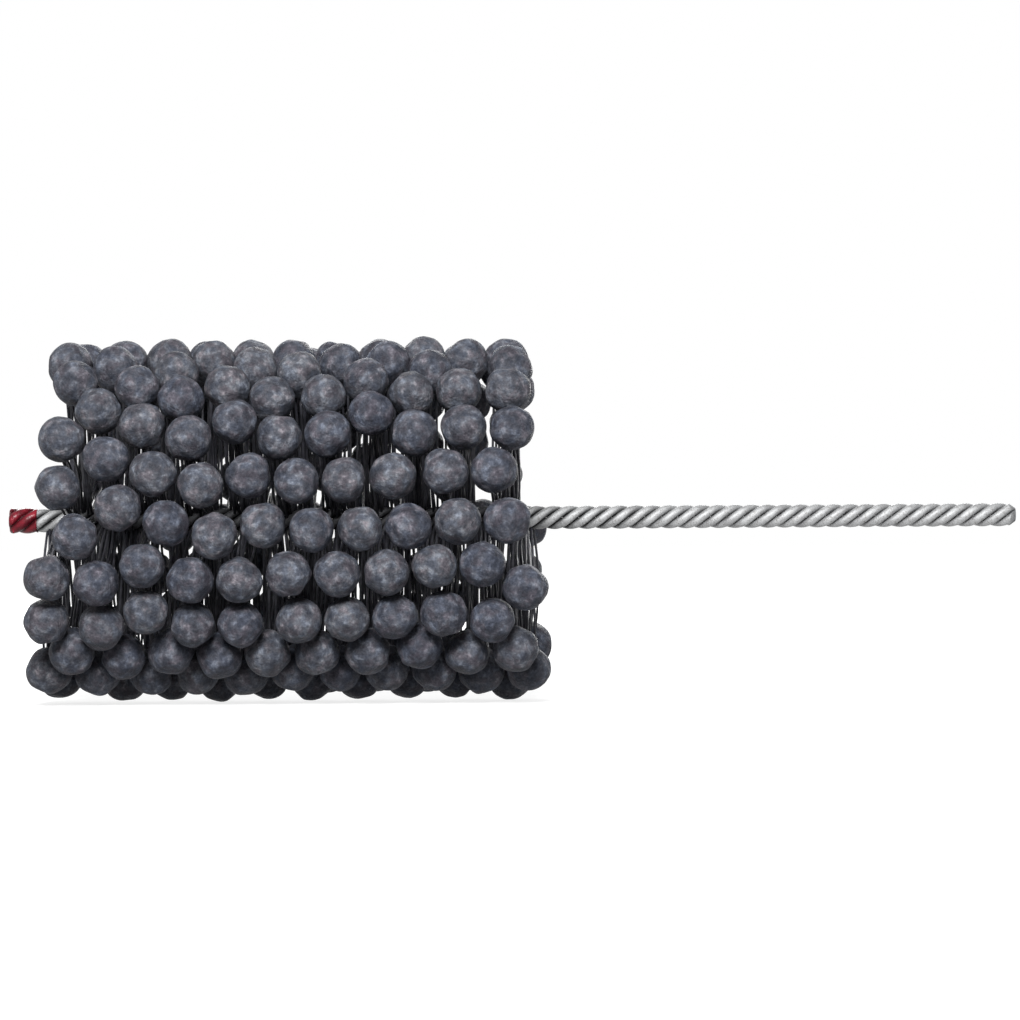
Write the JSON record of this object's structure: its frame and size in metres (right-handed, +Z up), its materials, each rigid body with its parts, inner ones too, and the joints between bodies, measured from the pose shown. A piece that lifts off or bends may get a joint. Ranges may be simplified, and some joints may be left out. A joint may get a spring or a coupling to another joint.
{
  "type": "flexible ball hone",
  "caption": "Flexible hone for finishing bores: abrasive globules on nylon filaments that a twisted wire stem holds, with a coloured tip and a bare shank for a drill chuck.",
  "frame": {"origin": "centre of the stem's free end, where a chuck takes it", "axes": "+X along the stem from the coloured tip to the free end, +Z up"},
  "size_m": [0.203, 0.0737, 0.0737],
  "materials": {
    "wire": "drawn steel wire with a thin zinc coat, grey in the grooves",
    "dip": "dark red dipped colour mark, semi-gloss",
    "globule": "dark slate grey abrasive grain in resin, matt and mottled",
    "filament": "black nylon monofilament, satin"
  },
  "bodies": {
    "stem": {"wire_strand_1": "wire", "wire_strand_2": "wire", "wire_strand_3": "wire", "wire_strand_4": "wire", "tip_dip": "dip"},
    "row_01": {"globule_row_01": "globule", "filament_row_01": "filament"},
    "row_02": {"globule_row_02": "globule", "filament_row_02": "filament"},
    "row_03": {"globule_row_03": "globule", "filament_row_03": "filament"},
    "row_04": {"globule_row_04": "globule", "filament_row_04": "filament"},
    "row_05": {"globule_row_05": "globule", "filament_row_05": "filament"},
    "row_06": {"globule_row_06": "globule", "filament_row_06": "filament"},
    "row_07": {"globule_row_07": "globule", "filament_row_07": "filament"},
    "row_08": {"globule_row_08": "globule", "filament_row_08": "filament"},
    "row_09": {"globule_row_09": "globule", "filament_row_09": "filament"},
    "row_10": {"globule_row_10": "globule", "filament_row_10": "filament"},
    "row_11": {"globule_row_11": "globule", "filament_row_11": "filament"},
    "row_12": {"globule_row_12": "globule", "filament_row_12": "filament"},
    "row_13": {"globule_row_13": "globule", "filament_row_13": "filament"},
    "row_14": {"globule_row_14": "globule", "filament_row_14": "filament"},
    "row_15": {"globule_row_15": "globule", "filament_row_15": "filament"},
    "row_16": {"globule_row_16": "globule", "filament_row_16": "filament"},
    "row_17": {"globule_row_17": "globule", "filament_row_17": "filament"},
    "row_18": {"globule_row_18": "globule", "filament_row_18": "filament"},
    "row_19": {"globule_row_19": "globule", "filament_row_19": "filament"},
    "row_20": {"globule_row_20": "globule", "filament_row_20": "filament"}
  },
  "joints": [
    {"name": "row_01_press", "type": "slide", "parent": "stem", "child": "row_01", "axis": [0, 0.1564, -0.9877], "range_m": [0, 0.002], "stiffness_N_per_m": 1500, "deforming": ["filament_row_01"]},
    {"name": "row_02_press", "type": "slide", "parent": "stem", "child": "row_02", "axis": [0, 0.454, -0.891], "range_m": [0, 0.002], "stiffness_N_per_m": 1500, "deforming": ["filament_row_02"]},
    {"name": "row_03_press", "type": "slide", "parent": "stem", "child": "row_03", "axis": [0, 0.7071, -0.7071], "range_m": [0, 0.002], "stiffness_N_per_m": 1500, "deforming": ["filament_row_03"]},
    {"name": "row_04_press", "type": "slide", "parent": "stem", "child": "row_04", "axis": [0, 0.891, -0.454], "range_m": [0, 0.002], "stiffness_N_per_m": 1500, "deforming": ["filament_row_04"]},
    {"name": "row_05_press", "type": "slide", "parent": "stem", "child": "row_05", "axis": [0, 0.9877, -0.1564], "range_m": [0, 0.002], "stiffness_N_per_m": 1500, "deforming": ["filament_row_05"]},
    {"name": "row_06_press", "type": "slide", "parent": "stem", "child": "row_06", "axis": [0, 0.9877, 0.1564], "range_m": [0, 0.002], "stiffness_N_per_m": 1500, "deforming": ["filament_row_06"]},
    {"name": "row_07_press", "type": "slide", "parent": "stem", "child": "row_07", "axis": [0, 0.891, 0.454], "range_m": [0, 0.002], "stiffness_N_per_m": 1500, "deforming": ["filament_row_07"]},
    {"name": "row_08_press", "type": "slide", "parent": "stem", "child": "row_08", "axis": [0, 0.7071, 0.7071], "range_m": [0, 0.002], "stiffness_N_per_m": 1500, "deforming": ["filament_row_08"]},
    {"name": "row_09_press", "type": "slide", "parent": "stem", "child": "row_09", "axis": [0, 0.454, 0.891], "range_m": [0, 0.002], "stiffness_N_per_m": 1500, "deforming": ["filament_row_09"]},
    {"name": "row_10_press", "type": "slide", "parent": "stem", "child": "row_10", "axis": [0, 0.1564, 0.9877], "range_m": [0, 0.002], "stiffness_N_per_m": 1500, "deforming": ["filament_row_10"]},
    {"name": "row_11_press", "type": "slide", "parent": "stem", "child": "row_11", "axis": [0, -0.1564, 0.9877], "range_m": [0, 0.002], "stiffness_N_per_m": 1500, "deforming": ["filament_row_11"]},
    {"name": "row_12_press", "type": "slide", "parent": "stem", "child": "row_12", "axis": [0, -0.454, 0.891], "range_m": [0, 0.002], "stiffness_N_per_m": 1500, "deforming": ["filament_row_12"]},
    {"name": "row_13_press", "type": "slide", "parent": "stem", "child": "row_13", "axis": [0, -0.7071, 0.7071], "range_m": [0, 0.002], "stiffness_N_per_m": 1500, "deforming": ["filament_row_13"]},
    {"name": "row_14_press", "type": "slide", "parent": "stem", "child": "row_14", "axis": [0, -0.891, 0.454], "range_m": [0, 0.002], "stiffness_N_per_m": 1500, "deforming": ["filament_row_14"]},
    {"name": "row_15_press", "type": "slide", "parent": "stem", "child": "row_15", "axis": [0, -0.9877, 0.1564], "range_m": [0, 0.002], "stiffness_N_per_m": 1500, "deforming": ["filament_row_15"]},
    {"name": "row_16_press", "type": "slide", "parent": "stem", "child": "row_16", "axis": [0, -0.9877, -0.1564], "range_m": [0, 0.002], "stiffness_N_per_m": 1500, "deforming": ["filament_row_16"]},
    {"name": "row_17_press", "type": "slide", "parent": "stem", "child": "row_17", "axis": [0, -0.891, -0.454], "range_m": [0, 0.002], "stiffness_N_per_m": 1500, "deforming": ["filament_row_17"]},
    {"name": "row_18_press", "type": "slide", "parent": "stem", "child": "row_18", "axis": [0, -0.7071, -0.7071], "range_m": [0, 0.002], "stiffness_N_per_m": 1500, "deforming": ["filament_row_18"]},
    {"name": "row_19_press", "type": "slide", "parent": "stem", "child": "row_19", "axis": [0, -0.454, -0.891], "range_m": [0, 0.002], "stiffness_N_per_m": 1500, "deforming": ["filament_row_19"]},
    {"name": "row_20_press", "type": "slide", "parent": "stem", "child": "row_20", "axis": [0, -0.1564, -0.9877], "range_m": [0, 0.002], "stiffness_N_per_m": 1500, "deforming": ["filament_row_20"]}
  ]
}
